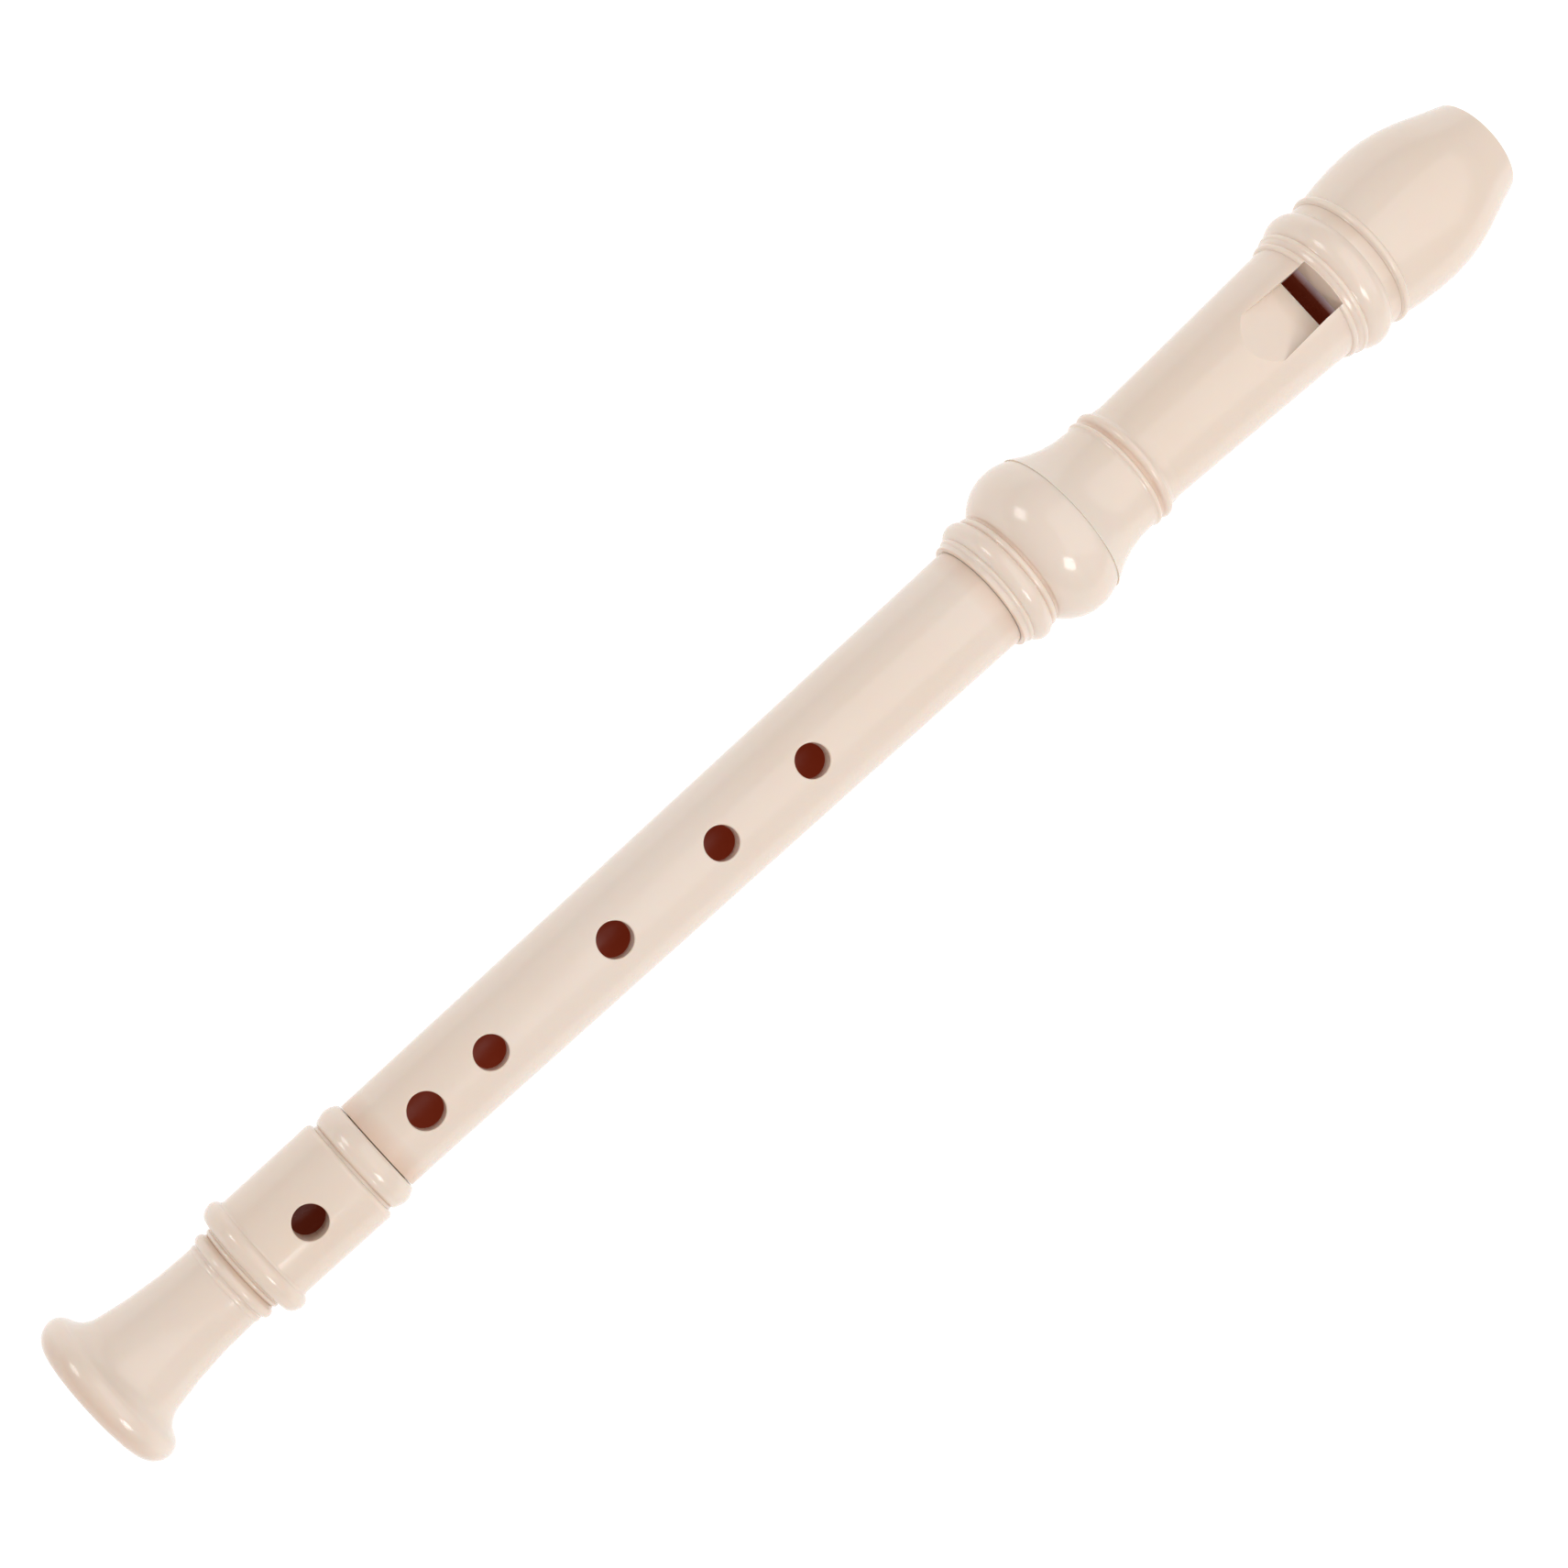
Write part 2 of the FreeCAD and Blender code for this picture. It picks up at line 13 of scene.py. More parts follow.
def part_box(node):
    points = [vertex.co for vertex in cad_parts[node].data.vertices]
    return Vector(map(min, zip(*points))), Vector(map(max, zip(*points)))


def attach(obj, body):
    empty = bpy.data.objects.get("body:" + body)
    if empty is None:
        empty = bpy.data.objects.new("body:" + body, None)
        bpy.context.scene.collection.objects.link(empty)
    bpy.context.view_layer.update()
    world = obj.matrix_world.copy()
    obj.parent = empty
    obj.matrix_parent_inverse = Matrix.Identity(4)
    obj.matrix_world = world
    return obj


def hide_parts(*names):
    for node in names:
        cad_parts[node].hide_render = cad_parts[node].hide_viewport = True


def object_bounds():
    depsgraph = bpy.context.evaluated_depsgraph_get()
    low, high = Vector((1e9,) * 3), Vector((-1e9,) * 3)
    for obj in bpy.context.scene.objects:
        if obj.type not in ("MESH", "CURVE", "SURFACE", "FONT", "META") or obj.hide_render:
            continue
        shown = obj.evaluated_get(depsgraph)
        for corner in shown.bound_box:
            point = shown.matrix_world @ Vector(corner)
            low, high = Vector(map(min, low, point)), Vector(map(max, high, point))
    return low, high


bl_info = {
    "name": "Soprano Recorder",
    "version": (1, 0, 0),
    "blender": (4, 5, 0),
    "location": "View3D > Sidebar > Recorder",
    "description": "Models a three-joint soprano recorder and its studio",
    "category": "Add Mesh",
}

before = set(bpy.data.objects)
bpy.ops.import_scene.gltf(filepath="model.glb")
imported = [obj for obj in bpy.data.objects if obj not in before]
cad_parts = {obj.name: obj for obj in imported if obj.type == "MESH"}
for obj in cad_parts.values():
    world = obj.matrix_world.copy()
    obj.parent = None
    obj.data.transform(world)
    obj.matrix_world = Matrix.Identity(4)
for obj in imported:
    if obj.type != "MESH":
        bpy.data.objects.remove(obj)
CAD_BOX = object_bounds()
MM = 0.001
FOOT_END = CAD_BOX[0].x
BEAK_TIP = CAD_BOX[1].x
LENGTH = (BEAK_TIP - FOOT_END) / MM
MIDDLE_LOW, MIDDLE_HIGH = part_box("middle_joint")
AXIS_Z = (MIDDLE_LOW.z + MIDDLE_HIGH.z) / 2
HEAD_TURN = math.radians(-10.1)
FOOT_TURN = math.radians(2.8)
SMOOTH_BELOW = math.radians(32.0)
SOFTEN_ABOVE = math.radians(35.0)
RING_SPACING = 4.0

# --- bore, sockets, seams and windway, as the frame has them ----------------------------
HEAD_BORE = 6.6
FOOT_BORE = 4.75
UPPER_SOCKET = 8.8
LOWER_SOCKET = 7.3
UPPER_JOINT = 202.1
LOWER_JOINT = 61.8
BEAK_SEAM = 293.0
RING_SEAM = 56.9
BELL_SEAM = 31.7
SEAMS = (BEAK_SEAM, UPPER_JOINT - 0.1, LOWER_JOINT + 0.2, RING_SEAM, BELL_SEAM)
WINDWAY_WIDTH = 10.0
WINDWAY_FLOOR = 6.0
WINDWAY_BEVEL = 2.2
WINDWAY_ROOF = 7.0
WINDOW = 282.7
LABIUM = 278.8
LABIUM_HEIGHT = 6.5
LABIUM_EDGE = 0.2
UNDERCUT = 270.5
RAMP_END = 264.0
RAMP_END_HEIGHT = 11.5
RAMP_END_WIDTH = 11.4
CUT_TOP = 16.0
BLOCK_GAP = 0.05
BLOCK_KEY = 1.0

# Tone holes: station and radius. Straight walls: station and radius of two points.
FINGER_HOLES = [(159.1, 3.1), (138.2, 3.1), (114.0, 3.25), (86.2, 3.05), (71.9, 3.3)]
FOOT_HOLE = [(45.9, 3.1)]
HEAD_WALL = [(281.95, 12.1), (240.9, 10.45)]
MIDDLE_WALL = [(201.7, 10.25), (62.4, 8.85)]
BARREL_WALL = [(55.4, 10.35), (37.3, 10.2)]

# Seals: which end, station of the middle, inner and outer radius.
SEALS = [
    ("upper", 212.0, 7.53, UPPER_SOCKET - 0.03),
    ("lower", 56.0, 6.13, LOWER_SOCKET - 0.03),
]

# Outlines: station, radius, round of the arc to the next corner, positive where it swells.
BEAK_HOLLOW = [(296.5, -16.0, 55.0), (LENGTH, 3.2, 0)]
BEAK = [
    (LENGTH, HEAD_BORE, 0), (LENGTH, 9.62, 0.15), (325.35, 9.78, 0), (316.6, 13.0, 33.0),
    (306.2, 14.8, 58.0), (294.75, 13.66, 0), (294.6, 13.75, 0.72), (293.3, 13.55, 0),
    (BEAK_SEAM, 13.4, 0), (BEAK_SEAM, HEAD_BORE, 0),
]
HEAD_TUBE = [
    (BEAK_SEAM, 13.4, 0), (290.6, 13.35, 0), (290.5, 13.45, 3.6), (285.35, 13.35, 0),
    (285.0, 13.1, 0.62), (283.9, 13.0, 0), (283.05, 12.55, 0.62), (281.95, 12.1, 0),
    (240.9, 10.45, 0), (240.2, 10.6, 0), (238.8, 10.72, 0), (238.2, 11.15, 0),
    (237.95, 11.3, 0.85), (236.6, 11.35, 0), (236.3, 10.95, 0), (235.6, 10.95, 0),
    (235.35, 11.35, 0.5), (234.5, 11.3, 0), (234.0, 11.1, -21.5), (221.62, 14.72, 0.12),
    (221.5, 14.6, 0), (221.5, 10.0, 0), (UPPER_JOINT, 10.0, 0),
    (UPPER_JOINT, UPPER_SOCKET, 0), (223.4, UPPER_SOCKET, 0), (223.4, HEAD_BORE, 0),
    (BEAK_SEAM, HEAD_BORE, 0),
]
SOCKET_SLEEVE = [
    (221.7, 14.42, 9.25), (210.1, 11.9, 0), (209.9, 11.45, 0), (209.35, 11.45, 0.75),
    (208.0, 11.75, 0), (207.9, 11.95, 2.1), (204.35, 11.75, 0), (204.15, 11.4, 0.5),
    (203.35, 11.35, 0), (203.2, 11.1, 0), (202.4, 11.1, 0.3), (201.98, 10.8, 0),
    (201.98, 10.05, 0), (221.7, 10.05, 0),
]
MIDDLE_JOINT = [
    (222.4, 6.2, 0), (222.4, 8.05, 0), (221.9, 8.55, 0), (213.6, 8.55, 0),
    (213.6, 7.5, 0), (210.4, 7.5, 0), (210.4, 8.55, 0), (201.9, 8.55, 0),
    (201.95, 10.19, 0.06), (201.89, 10.25, 0), (62.05, 8.85, 0.1), (61.95, 8.75, 0),
    (61.95, 7.05, 0), (57.6, 7.05, 0), (57.6, 6.1, 0), (54.4, 6.1, 0), (54.4, 7.05, 0),
    (50.8, 7.05, 0), (50.4, 6.65, 0), (50.4, 4.9, 0),
]
FOOT_RING = [
    (LOWER_JOINT, 8.35, 0), (LOWER_JOINT, 8.75, 1.1), (61.0, 9.75, 3.0),
    (58.0, 9.9, 1.4), (RING_SEAM, 9.2, 0), (RING_SEAM, 8.35, 0),
]
FOOT_BARREL = [
    (LOWER_JOINT, LOWER_SOCKET, 0), (LOWER_JOINT, 8.3, 0), (RING_SEAM, 8.3, 0),
    (RING_SEAM, 9.2, 0), (56.35, 9.3, 0.95), (55.4, 10.35, 0), (37.3, 10.2, 0),
    (36.8, 10.45, 1.6), (34.55, 11.35, 1.8), (33.0, 9.6, 0), (32.75, 8.55, 0),
    (32.6, 8.4, 0.4), (31.95, 8.35, 0), (BELL_SEAM, 8.05, 0), (BELL_SEAM, 6.4, 0),
    (23.7, 6.4, 0), (23.7, FOOT_BORE, 0), (49.6, FOOT_BORE, 0), (49.6, LOWER_SOCKET, 0),
]
FOOT_BELL = [
    (BELL_SEAM, 6.45, 0), (BELL_SEAM, 8.05, 0), (31.3, 8.35, 1.05), (29.35, 8.2, 0),
    (29.0, 8.15, 0.8), (28.1, 8.1, 0), (27.0, 8.1, -81.0), (9.5, 10.0, -5.0),
    (5.9, 13.17, 2.58), (3.47, 14.87, 3.6), (0.0, 11.4, 0), (0.0, 5.25, 0),
    (0.5, FOOT_BORE, 0), (23.7, FOOT_BORE, 0), (23.7, 6.45, 0),
]


def seal_outline(middle, inner, outer, width=3.0, edge=0.45):
    """A seal's section: square inside its groove and rounded where the socket slides on."""
    half = width / 2
    return [
        (middle - half, inner, 0), (middle - half, outer - edge, edge),
        (middle - half + edge, outer, 0), (middle + half - edge, outer, edge),
        (middle + half, outer - edge, 0), (middle + half, inner, 0),
    ]


# --- sizes and colours a user may change -------------------------------------------------
class RecorderSizes(bpy.types.PropertyGroup):
    """How finely the pieces are turned and how soft their edges are."""

    segments: bpy.props.IntProperty(
        name="Segments", description="Facets round each turned piece", default=192, min=48
    )
    arc_step: bpy.props.FloatProperty(
        name="Arc step", description="Turn between two rings of a rounded stretch",
        default=math.radians(9.0), subtype="ANGLE",
    )
    edge_round: bpy.props.FloatProperty(
        name="Edge round", description="Rounding of moulded edges",
        default=0.00008, unit="LENGTH",
    )
    hole_round: bpy.props.FloatProperty(
        name="Hole round", description="Rounding of the tone holes' edges",
        default=0.00035, unit="LENGTH",
    )


class RecorderColours(bpy.types.PropertyGroup):
    """Colours of the plastics and of the studio."""

    ivory: bpy.props.FloatVectorProperty(
        name="Ivory", description="Moulded ivory plastic", subtype="COLOR",
        default=(0.80, 0.682, 0.590), min=0.0, max=1.0,
    )
    # Painted warm shade, laid into grooves, seams and the bell's rim where less light
    # reaches and bounced light turns warm.
    crevice_shade: bpy.props.FloatVectorProperty(
        name="Crevice", description="Warm tone that gathers in grooves", subtype="COLOR",
        default=(0.67, 0.43, 0.30), min=0.0, max=1.0,
    )
    # Painted shade: the bore is the same ivory plastic, drawn dark red-brown for the little
    # light that reaches it inside.
    bore: bpy.props.FloatVectorProperty(
        name="Bore", description="Wall of the bore", subtype="COLOR",
        default=(0.28, 0.09, 0.055), min=0.0, max=1.0,
    )
    glow: bpy.props.FloatVectorProperty(
        name="Glow", description="Light that reaches the bore through its wall",
        subtype="COLOR", default=(0.076, 0.0085, 0.0025), min=0.0, max=1.0,
    )
    # Painted reflection: the pale grey along the top of the block stands in for a sheen of
    # light there.
    block: bpy.props.FloatVectorProperty(
        name="Block", description="Windway's floor, a cooler plastic", subtype="COLOR",
        default=(0.58, 0.52, 0.56), min=0.0, max=1.0,
    )
    seal: bpy.props.FloatVectorProperty(
        name="Seal", description="Soft sealing rings", subtype="COLOR",
        default=(0.80, 0.76, 0.68), min=0.0, max=1.0,
    )
    floor: bpy.props.FloatVectorProperty(
        name="Floor", description="Studio floor", subtype="COLOR",
        default=(0.36, 0.36, 0.36), min=0.0, max=1.0,
    )


# --- materials ---------------------------------------------------------------------------
def node_tree(name):
    """A new material with its shader and its node tree."""
    material = bpy.data.materials.new(name)
    material.use_nodes = True
    tree = material.node_tree
    return material, tree, tree.nodes["Principled BSDF"]


def object_noise(tree, scale, detail=2.0):
    """Noise in the object's own coordinates."""
    place = tree.nodes.new("ShaderNodeTexCoord")
    noise = tree.nodes.new("ShaderNodeTexNoise")
    noise.inputs["Scale"].default_value = scale
    noise.inputs["Detail"].default_value = detail
    tree.links.new(place.outputs["Object"], noise.inputs["Vector"])
    return noise.outputs["Fac"]


def spread(tree, source, low, high):
    """Maps the middle of a noise to a range."""
    node = tree.nodes.new("ShaderNodeMapRange")
    node.inputs["From Min"].default_value = 0.3
    node.inputs["From Max"].default_value = 0.7
    node.inputs["To Min"].default_value = low
    node.inputs["To Max"].default_value = high
    tree.links.new(source, node.inputs["Value"])
    return node.outputs["Result"]


def mixed(tree, factor, first, second):
    """Mixes two colours, each a socket or plain numbers."""
    node = tree.nodes.new("ShaderNodeMix")
    node.data_type = "RGBA"
    tree.links.new(factor, node.inputs["Factor"])
    for name, colour in (("A", first), ("B", second)):
        socket = next(s for s in node.inputs if s.name == name and s.type == "RGBA")
        if isinstance(colour, bpy.types.NodeSocket):
            tree.links.new(colour, socket)
        else:
            socket.default_value = (*colour, 1.0)
    return next(s for s in node.outputs if s.type == "RGBA")


def patchy(tree, scale, first, second):
    """Two tones of one plastic in soft patches."""
    return mixed(tree, spread(tree, object_noise(tree, scale), 0.0, 1.0), first, second)


def handled(tree, shader, scale, smooth, rough, detail=2.0):
    """Roughness that wanders between two values, as handling leaves it."""
    gloss = spread(tree, object_noise(tree, scale, detail), smooth, rough)
    tree.links.new(gloss, shader.inputs["Roughness"])


def glowing(shader, colour, strength=1.0):
    """Light that comes out of the surface evenly."""
    shader.inputs["Emission Color"].default_value = (*colour, 1.0)
    shader.inputs["Emission Strength"].default_value = strength


def moulded_bump(tree, shader, waves, grain):
    """Slow unevenness of a moulding and the fine grain of its skin."""
    normal = None
    for scale, detail, strength, depth in (
        (55.0, 2.0, waves, 0.0004), (2600.0, 3.0, grain, 0.00004)
    ):
        bump = tree.nodes.new("ShaderNodeBump")
        bump.inputs["Strength"].default_value = strength
        bump.inputs["Distance"].default_value = depth
        tree.links.new(object_noise(tree, scale, detail), bump.inputs["Height"])
        if normal:
            tree.links.new(normal, bump.inputs["Normal"])
        normal = bump.outputs["Normal"]
    tree.links.new(normal, shader.inputs["Normal"])


def ivory_plastic(colours):
    """Satin ivory ABS: nearly even, a little warmer in patches, with painted warm shade in
    its grooves, at its seams and round the bell's rim.
    """
    material, tree, shader = node_tree("ivory_abs")
    ivory = Vector(colours.ivory)
    warm = Vector((ivory.x * 0.985, ivory.y * 0.955, ivory.z * 0.92))
    # Painted warm shade: a stored amount for each point mixes the warm shade colour into the
    # ivory.
    depth = tree.nodes.new("ShaderNodeAttribute")
    depth.attribute_name = "groove"
    patches = patchy(tree, 22.0, ivory, warm)
    colour = mixed(tree, depth.outputs["Fac"], patches, colours.crevice_shade)
    tree.links.new(colour, shader.inputs["Base Color"])
    handled(tree, shader, 140.0, 0.13, 0.18, detail=4.0)
    shader.inputs["IOR"].default_value = 1.52
    shader.inputs["Specular IOR Level"].default_value = 0.45
    shader.inputs["Subsurface Weight"].default_value = 0.35
    shader.inputs["Subsurface Radius"].default_value = (1.0, 0.5, 0.28)
    shader.inputs["Subsurface Scale"].default_value = 0.0013
    moulded_bump(tree, shader, 0.05, 0.06)
    return material


def painted_bore_shade(colours):
    """Painted shade and painted glow on the bore's wall, for light that only arrives there
    after many bounces in warm plastic.
    """
    material, tree, shader = node_tree("ivory_bore_shade")
    bore = Vector(colours.bore)
    tree.links.new(patchy(tree, 60.0, bore, bore * 0.72), shader.inputs["Base Color"])
    handled(tree, shader, 300.0, 0.30, 0.42)
    glowing(shader, colours.glow)
    moulded_bump(tree, shader, 0.05, 0.15)
    return material


def painted_dark_bore_shade(colours):
    """Painted shade and a fainter painted glow on the wall of the head's and the foot's
    bore, where less light comes through.
    """
    material, tree, shader = node_tree("dark_bore_shade")
    bore = Vector(colours.bore)
    tree.links.new(patchy(tree, 60.0, bore, bore * 0.8), shader.inputs["Base Color"])
    handled(tree, shader, 300.0, 0.20, 0.30)
    glowing(shader, colours.glow, 0.42)
    moulded_bump(tree, shader, 0.05, 0.08)
    return material


def block_sheen_and_shade(colours):
    """The block: painted shade low in the bore and a painted pale sheen along the windway's
    floor, with a painted glow over both.
    """
    material, tree, shader = node_tree("block_sheen_and_shade")
    # Painted shade: the bore colour, darkened, on the block below the windway's floor.
    bore = Vector(colours.bore) * 0.8
    place = tree.nodes.new("ShaderNodeTexCoord")
    height = tree.nodes.new("ShaderNodeVectorMath")
    height.operation = "DOT_PRODUCT"
    height.inputs[1].default_value = (0.0, -math.sin(HEAD_TURN), math.cos(HEAD_TURN))
    tree.links.new(place.outputs["Object"], height.inputs[0])
    level = AXIS_Z * math.cos(HEAD_TURN)
    # Paler towards the top of the block, where the windway's floor is: painted sheen above,
    # painted shade below.
    floor = tree.nodes.new("ShaderNodeMapRange")
    floor.inputs["From Min"].default_value = level + (WINDWAY_FLOOR - WINDWAY_BEVEL) * MM
    floor.inputs["From Max"].default_value = level + (WINDWAY_FLOOR - 0.1) * MM
    tree.links.new(height.outputs["Value"], floor.inputs["Value"])
    pale = floor.outputs["Result"]
    colour = mixed(tree, pale, patchy(tree, 60.0, bore, bore * 0.8), colours.block)
    # Painted glow: faint red low on the block and a pale painted sheen along its top.
    sheen = mixed(tree, pale, Vector(colours.glow) * 0.45, Vector(colours.block) * 0.55)
    tree.links.new(colour, shader.inputs["Base Color"])
    tree.links.new(sheen, shader.inputs["Emission Color"])
    shader.inputs["Emission Strength"].default_value = 1.0
    handled(tree, shader, 300.0, 0.20, 0.30)
    moulded_bump(tree, shader, 0.05, 0.08)
    return material


def seal_rubber(colours):
    """Pale silicone of the tenons' sealing rings."""
    material, tree, shader = node_tree("seal_ring")
    seal = Vector(colours.seal)
    tree.links.new(patchy(tree, 420.0, seal, seal * 0.88), shader.inputs["Base Color"])
    handled(tree, shader, 900.0, 0.5, 0.65)
    moulded_bump(tree, shader, 0.12, 0.3)
    return material


def studio_floor(colours):
    """Matt pale card, with the faintest mottle, lit from below so that it stays white."""
    material, tree, shader = node_tree("pale_floor")
    pale = Vector(colours.floor)
    tree.links.new(patchy(tree, 3.0, pale, pale * 0.99), shader.inputs["Base Color"])
    shader.inputs["Roughness"].default_value = 0.9
    shader.inputs["Specular IOR Level"].default_value = 0.1
    glowing(shader, (1.0, 1.0, 1.0), 0.80)
    return material


MAKERS = {
    "ivory_abs": ivory_plastic,
    "ivory_bore_shade": painted_bore_shade,
    "dark_bore_shade": painted_dark_bore_shade,
    "block_sheen_and_shade": block_sheen_and_shade,
    "seal_ring": seal_rubber,
    "pale_floor": studio_floor,
}


def material_named(name):
    """The material of that name, made the first time it is asked for."""
    found = bpy.data.materials.get(name)
    if found is None or not found.get("recorder"):
        found = MAKERS[name](bpy.context.scene.recorder_colours)
        found["recorder"] = True
    return found


# --- turning and cutting -----------------------------------------------------------------
def station(mm):
    """World X of a station counted from the end of the foot."""
    return FOOT_END + mm * MM


def only(piece):
    """Selects one object and makes it active."""
    bpy.ops.object.select_all(action="DESELECT")
    piece.hide_set(False)
    piece.select_set(True)
    bpy.context.view_layer.objects.active = piece


def rounded(corners, step):
    """The outline's points, with every arc divided into steps of at most the given turn."""
    points = []
    count = len(corners)
    for index, (x, radius, bend) in enumerate(corners):
        start = Vector((x, radius))
        end = Vector(corners[(index + 1) % count][:2])
        points.append(start)
        chord = end - start
        if not bend:
            pieces = math.ceil(chord.length / RING_SPACING)
            points += [start + chord * k / pieces for k in range(1, pieces)]
            continue
        size = abs(bend)
        side = Vector((-chord.y, chord.x)).normalized()
        if side.y < 0:
            side = -side
        if bend < 0:
            side = -side
        rise = math.sqrt(size * size - chord.length_squared / 4)
        centre = (start + end) / 2 - side * rise
        first = (start - centre).angle_signed(side)
        sweep = (start - centre).angle_signed(end - centre)
        pieces = max(3, math.ceil(abs(sweep) / step))
        for k in range(1, pieces):
            turn = Matrix.Rotation(-sweep * k / pieces, 2)
            points.append(centre + turn @ (start - centre))
    return points


def turned(name, corners):
    """Turns a closed outline: a circle is drawn out ring by ring along the bore."""
    sizes = bpy.context.scene.recorder_sizes
    points = rounded(corners, sizes.arc_step)
    x, radius = points[0]
    bpy.ops.object.select_all(action="DESELECT")
    bpy.ops.mesh.primitive_circle_add(
        vertices=sizes.segments, radius=radius * MM,
        location=(station(x), 0, AXIS_Z), rotation=(0, math.pi / 2, 0),
    )
    piece = bpy.context.object
    piece.name = name
    bpy.ops.object.mode_set(mode="EDIT")
    bpy.ops.mesh.select_all(action="SELECT")
    for next_x, next_radius in points[1:] + points[:1]:
        bpy.ops.mesh.extrude_edges_move(
            TRANSFORM_OT_translate={"value": ((next_x - x) * MM, 0, 0)}
        )
        scale = next_radius / radius
        bpy.ops.transform.resize(
            value=(1, scale, scale), center_override=(station(next_x), 0, AXIS_Z)
        )
        x, radius = next_x, next_radius
    bpy.ops.mesh.select_all(action="SELECT")
    bpy.ops.mesh.remove_doubles(threshold=0.000004)
    bpy.ops.mesh.normals_make_consistent(inside=False)
    bpy.ops.object.mode_set(mode="OBJECT")
    bpy.ops.object.transform_apply(location=True, rotation=True, scale=True)
    return piece


def add_modifier(piece, kind, **settings):
    """Adds a modifier and applies it."""
    only(piece)
    modifier = piece.modifiers.new(kind.title(), kind)
    for key, setting in settings.items():
        setattr(modifier, key, setting)
    bpy.ops.object.modifier_apply(modifier=modifier.name)


def soften_edges(piece):
    """Rounds every hard edge a little, as a mould leaves it."""
    add_modifier(
        piece, "BEVEL", width=bpy.context.scene.recorder_sizes.edge_round, segments=2,
        limit_method="ANGLE", angle_limit=SOFTEN_ABOVE, use_clamp_overlap=True,
    )


def combine(piece, other, operation="DIFFERENCE"):
    """Takes the other shape out of the piece, or joins it on, and removes the other."""
    add_modifier(piece, "BOOLEAN", operation=operation, solver="EXACT", object=other)
    bpy.data.objects.remove(other)


def side_cutter(corners, width):
    """A side-view outline, from a plane's first corner drawn round and out to its width."""
    bpy.ops.object.select_all(action="DESELECT")
    bpy.ops.mesh.primitive_circle_add(vertices=len(corners), radius=MM, fill_type="NGON")
    cutter = bpy.context.object
    half = width * MM / 2
    for vertex, (x, height) in zip(cutter.data.vertices, corners):
        vertex.co = (station(x), -half, AXIS_Z + height * MM)
    bpy.ops.object.mode_set(mode="EDIT")
    bpy.ops.mesh.select_all(action="SELECT")
    bpy.ops.mesh.extrude_region_move(TRANSFORM_OT_translate={"value": (0, 2 * half, 0)})
    bpy.ops.mesh.select_all(action="SELECT")
    bpy.ops.mesh.normals_make_consistent(inside=False)
    bpy.ops.object.mode_set(mode="OBJECT")
    bpy.ops.object.transform_apply(location=True, rotation=True, scale=True)
    return cutter


def box_cutter(start, end, low, high, width):
    """A block between two stations and two heights above the axis."""
    return side_cutter([(start, low), (end, low), (end, high), (start, high)], width)


def ramp_cutter():
    """The wedge that opens the window into the labium's ramp, wider where it runs out."""
    cutter = side_cutter(
        [(LABIUM, LABIUM_HEIGHT + LABIUM_EDGE), (LABIUM, CUT_TOP), (RAMP_END, CUT_TOP),
         (RAMP_END, RAMP_END_HEIGHT)], WINDWAY_WIDTH,
    )
    bpy.ops.object.mode_set(mode="EDIT")
    bpy.ops.mesh.select_all(action="DESELECT")
    bpy.ops.object.mode_set(mode="OBJECT")
    for vertex in cutter.data.vertices:
        vertex.select = vertex.co.x < station(LABIUM) - MM
    bpy.ops.object.mode_set(mode="EDIT")
    wider = RAMP_END_WIDTH / WINDWAY_WIDTH
    bpy.ops.transform.resize(value=(1, wider, 1), center_override=(0, 0, AXIS_Z))
    bpy.ops.object.mode_set(mode="OBJECT")
    return cutter


def hollow_cutter():
    """The hollow under the beak, as one arc from its underside to the tip's lower lip."""
    arc = rounded(BEAK_HOLLOW, math.radians(1.5))
    lip, lowest = 4.0, BEAK_HOLLOW[0][1]
    corners = [(p.x, p.y) for p in arc] + [(LENGTH + 2.5, lip), (LENGTH + 2.5, lowest)]
    return side_cutter(corners, 4 * WINDWAY_WIDTH)


def shade(piece):
    """Smooths all but the hard edges, which keeps the flats beside a rounding flat."""
    only(piece)
    bpy.ops.object.shade_smooth_by_angle(angle=SMOOTH_BELOW)
    add_modifier(piece, "WEIGHTED_NORMAL", keep_sharp=True, weight=60)


def true_skin(piece, wall, alike=0.8, flat=None):
    """Shades a straight wall of the turned skin as if it had never been cut.

    The cuts leave long faces there, and each of their corners takes the exact normal of
    the turned surface. Faces along the normal of a flat cut stay flat.
    """
    (x0, r0), (x1, r1) = wall
    slope = (r1 - r0) / (x1 - x0)
    past_end, off_wall, same = 0.05, 0.02, 0.9995
    shade(piece)
    mesh = piece.data
    normals = [Vector(corner.vector) for corner in mesh.corner_normals]
    for face in mesh.polygons:
        for loop in face.loop_indices:
            place = mesh.vertices[mesh.loops[loop].vertex_index].co
            x = (place.x - FOOT_END) / MM
            across = Vector((0, place.y, place.z - AXIS_Z))
            off = abs(across.length / MM - (r0 + slope * (x - x0)))
            if flat and face.normal.dot(flat) > same:
                normals[loop] = flat
            elif min(x0, x1) - past_end < x < max(x0, x1) + past_end:
                out = (across.normalized() - Vector((slope, 0, 0))).normalized()
                if off < off_wall and face.normal.dot(out) > alike:
                    normals[loop] = out
    mesh.normals_split_custom_set(normals)


